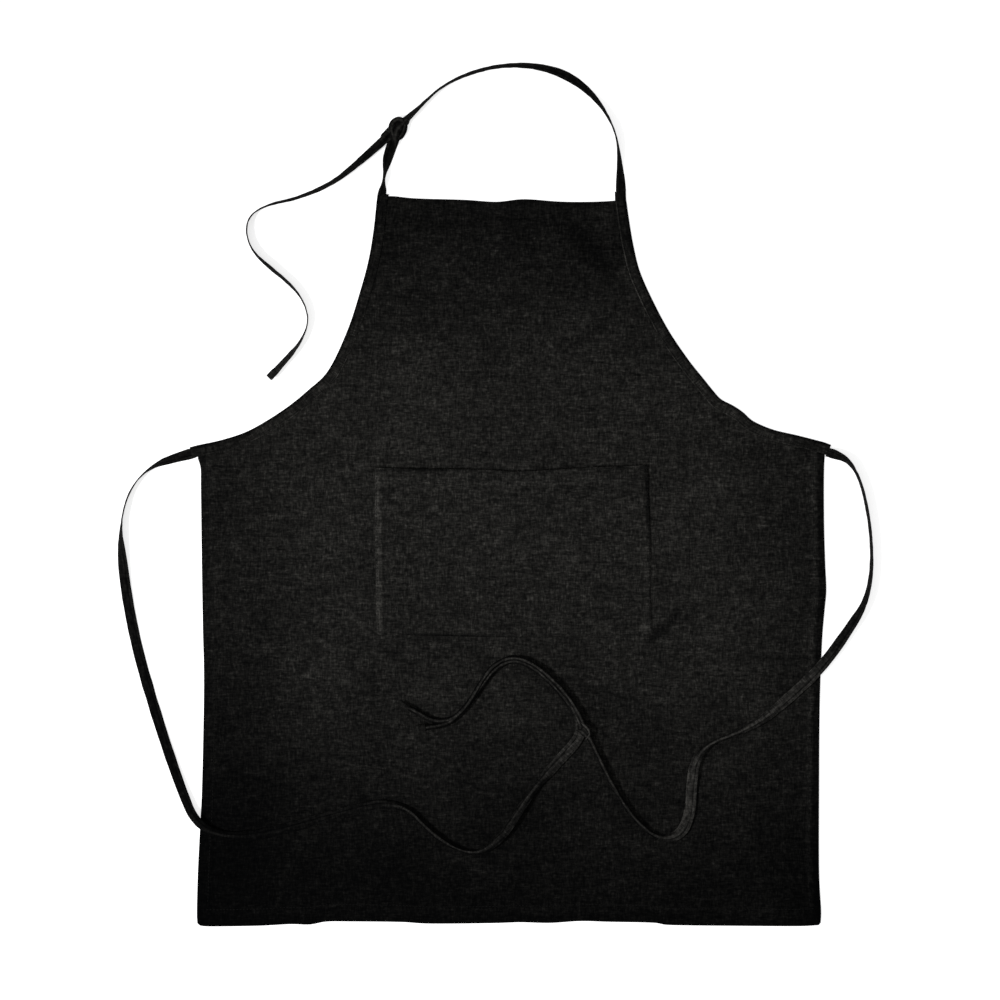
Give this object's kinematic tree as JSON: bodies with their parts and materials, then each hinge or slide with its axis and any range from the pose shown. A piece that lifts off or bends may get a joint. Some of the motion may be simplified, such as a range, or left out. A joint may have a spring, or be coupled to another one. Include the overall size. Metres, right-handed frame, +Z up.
{
  "type": "bib apron",
  "caption": "Dark linen bib apron lying flat, front up, with a wide patch pocket, a knotted neck strap and long waist ties knotted on the front.",
  "frame": {"origin": "on the resting surface, at the centre of the apron's own outline, ties and neck strap left out", "axes": "+Y towards the bib's top, +X to the right of a viewer looking down at the front, +Z up, out of the front"},
  "size_m": [0.8437, 0.9593, 0.0161],
  "materials": {
    "linen": "matte washed linen, slubby plain weave, black with a warm grey heather",
    "binding_tape": "matte folded linen tape, the same cloth as the apron",
    "thread": "matte black sewing thread"
  },
  "bodies": {
    "skirt": {"skirt_panel": "linen", "bottom_hem": "linen", "left_side_hem": "linen", "right_side_hem": "linen", "left_armhole_binding_lower": "binding_tape", "right_armhole_binding_lower": "binding_tape", "pocket_panel": "linen", "pocket_mouth_hem": "linen", "pocket_outline_stitching": "thread", "pocket_mouth_stitching": "thread", "pocket_bartacks": "thread", "bottom_hem_stitching": "thread", "side_hem_stitching": "thread", "armhole_stitching_lower": "thread", "tie_root_bartacks": "thread"},
    "bib": {"bib_panel": "linen", "bib_top_hem": "linen", "left_armhole_binding_upper": "binding_tape", "right_armhole_binding_upper": "binding_tape", "bib_hem_stitching": "thread", "armhole_stitching_upper": "thread", "neck_root_bartacks": "thread", "neck_strap_tail": "binding_tape", "neck_tail_end_hem": "binding_tape"},
    "waist_ties": {"left_waist_tie": "binding_tape", "right_waist_tie": "binding_tape", "waist_knot": "binding_tape", "waist_tie_end_hems": "binding_tape"},
    "neck_loop": {"neck_strap": "binding_tape", "neck_stub": "binding_tape", "neck_knot": "binding_tape"}
  },
  "joints": [
    {"name": "bib_fold", "type": "hinge", "parent": "skirt", "child": "bib", "pos_m": [0, 0.15, 0.0025], "axis": [1, 0, 0], "range_deg": [0, 135]},
    {"name": "waist_tie_swing", "type": "hinge", "parent": "skirt", "child": "waist_ties", "pos_m": [0, 0.129, 0.0025], "axis": [-1, 0, 0], "range_deg": [0, 150]},
    {"name": "neck_loop_swing", "type": "hinge", "parent": "bib", "child": "neck_loop", "pos_m": [0, 0.4045, 0.0025], "axis": [1, 0, 0], "range_deg": [0, 150]}
  ]
}
